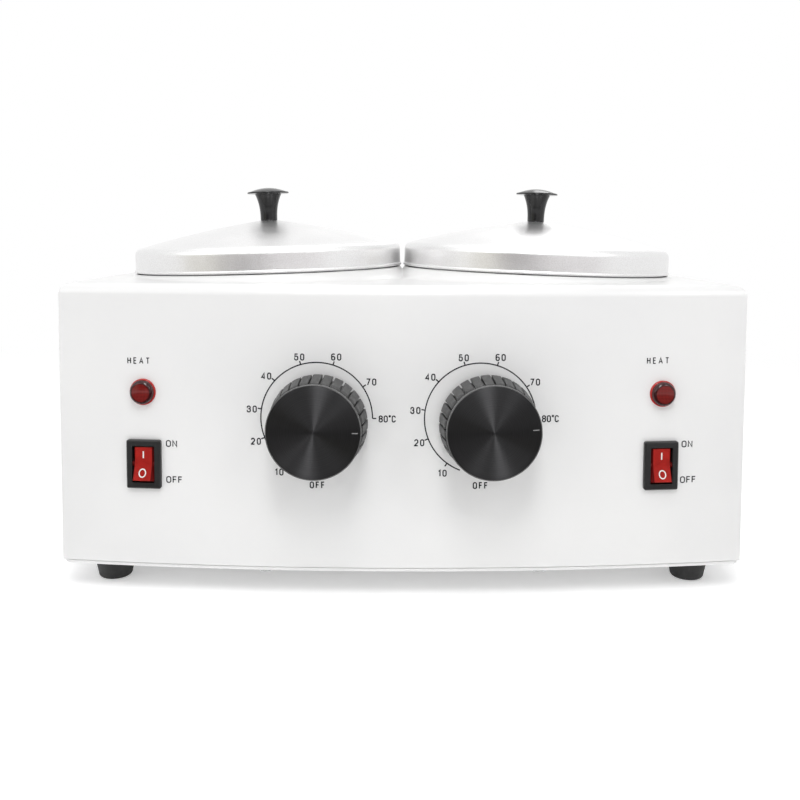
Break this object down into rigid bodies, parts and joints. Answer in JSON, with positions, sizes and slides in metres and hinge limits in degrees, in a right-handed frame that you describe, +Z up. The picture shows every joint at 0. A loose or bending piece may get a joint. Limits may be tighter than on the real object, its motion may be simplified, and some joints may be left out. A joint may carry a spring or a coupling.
{
  "type": "double wax heater",
  "caption": "Countertop wax heater: bowed white steel box, two heated wells with lift-out pots under domed lids, turning thermostat dials, rocker switches and pilot lamps.",
  "frame": {"origin": "on the ground, under the middle of the whole outline", "axes": "+X to the viewer's right along the front, +Y from the front to the back, +Z up"},
  "size_m": [0.296, 0.2022, 0.1786],
  "materials": {
    "white_paint": "gloss powder coat",
    "black_rubber": "matt",
    "black_gasket": "silicone",
    "zinc_steel": "zinc plated",
    "well_aluminium": "drawn",
    "heater_mica": "heat tinted",
    "pot_aluminium": "drawn, satin",
    "satin_aluminium": "satin, spun",
    "black_phenolic": "gloss",
    "copper": "copper, dull",
    "black_grip": "satin",
    "black_disc": "spun, black anodised",
    "white_mark": "printed",
    "black_plastic": "satin",
    "red_rocker": "translucent",
    "red_lens": "translucent",
    "brass": "plain",
    "ivory_plastic": "matt"
  },
  "bodies": {
    "case": {"housing": "white_paint", "base_plate": "white_paint", "base_screws": "zinc_steel", "foot_front_left": "black_rubber", "foot_front_right": "black_rubber", "foot_back_left": "black_rubber", "foot_back_right": "black_rubber", "foot_screws": "zinc_steel", "foot_nuts": "zinc_steel", "left_well": "well_aluminium", "right_well": "well_aluminium", "left_gasket": "black_gasket", "right_gasket": "black_gasket", "left_well_ring": "well_aluminium", "right_well_ring": "well_aluminium", "left_heater_band": "heater_mica", "right_heater_band": "heater_mica", "band_screws": "zinc_steel", "band_nuts": "zinc_steel", "left_thermostat": "zinc_steel", "right_thermostat": "zinc_steel", "thermostat_screws": "zinc_steel", "left_capillary": "copper", "right_capillary": "copper", "bulb_clips": "zinc_steel", "left_switch_body": "black_plastic", "right_switch_body": "black_plastic", "left_switch_terminals": "brass", "right_switch_terminals": "brass", "left_lamp_lens": "red_lens", "right_lamp_lens": "red_lens", "left_lamp_barrel": "black_plastic", "right_lamp_barrel": "black_plastic", "lamp_nuts": "black_plastic", "cord_gland": "black_plastic", "gland_nut": "black_plastic", "terminal_block": "ivory_plastic", "block_screws": "zinc_steel", "clamp_screws": "brass", "earth_screw": "zinc_steel", "earth_nut": "brass"},
    "left_dial": {"left_dial_grip": "black_grip", "left_dial_disc": "black_disc", "left_pointer": "white_mark", "left_shaft": "zinc_steel"},
    "right_dial": {"right_dial_grip": "black_grip", "right_dial_disc": "black_disc", "right_pointer": "white_mark", "right_shaft": "zinc_steel"},
    "left_switch": {"left_rocker": "red_rocker"},
    "right_switch": {"right_rocker": "red_rocker"},
    "left_wax_pot": {"left_pot": "pot_aluminium"},
    "right_wax_pot": {"right_pot": "pot_aluminium"},
    "left_cover": {"left_lid": "satin_aluminium", "left_lid_knob": "black_phenolic", "left_lid_screw": "zinc_steel"},
    "right_cover": {"right_lid": "satin_aluminium", "right_lid_knob": "black_phenolic", "right_lid_screw": "zinc_steel"}
  },
  "joints": [
    {"name": "left_dial_turn", "type": "hinge", "parent": "case", "child": "left_dial", "pos_m": [-0.0355, -0.07831, 0.0765], "axis": [-0.0332, -0.9994, 0], "range_deg": [0, 270]},
    {"name": "left_rocker_tip", "type": "hinge", "parent": "case", "child": "left_switch", "pos_m": [-0.11062, -0.07336, 0.0571], "axis": [0.9946, -0.1035, 0], "range_deg": [0, 20]},
    {"name": "left_pot_lift", "type": "slide", "parent": "case", "child": "left_wax_pot", "axis": [-0.0319, 0, 0.9995], "range_m": [0, 0.09]},
    {"name": "left_lid_lift", "type": "slide", "parent": "left_wax_pot", "child": "left_cover", "axis": [-0.0319, 0, 0.9995], "range_m": [0, 0.06]},
    {"name": "right_dial_turn", "type": "hinge", "parent": "case", "child": "right_dial", "pos_m": [0.0355, -0.07831, 0.0765], "axis": [0.0332, -0.9994, 0], "range_deg": [-4.5, 265.5]},
    {"name": "right_rocker_tip", "type": "hinge", "parent": "case", "child": "right_switch", "pos_m": [0.11062, -0.07336, 0.0571], "axis": [0.9946, 0.1035, 0], "range_deg": [0, 20]},
    {"name": "right_pot_lift", "type": "slide", "parent": "case", "child": "right_wax_pot", "axis": [0.0319, 0, 0.9995], "range_m": [0, 0.09]},
    {"name": "right_lid_lift", "type": "slide", "parent": "right_wax_pot", "child": "right_cover", "axis": [0.0319, 0, 0.9995], "range_m": [0, 0.06]}
  ]
}
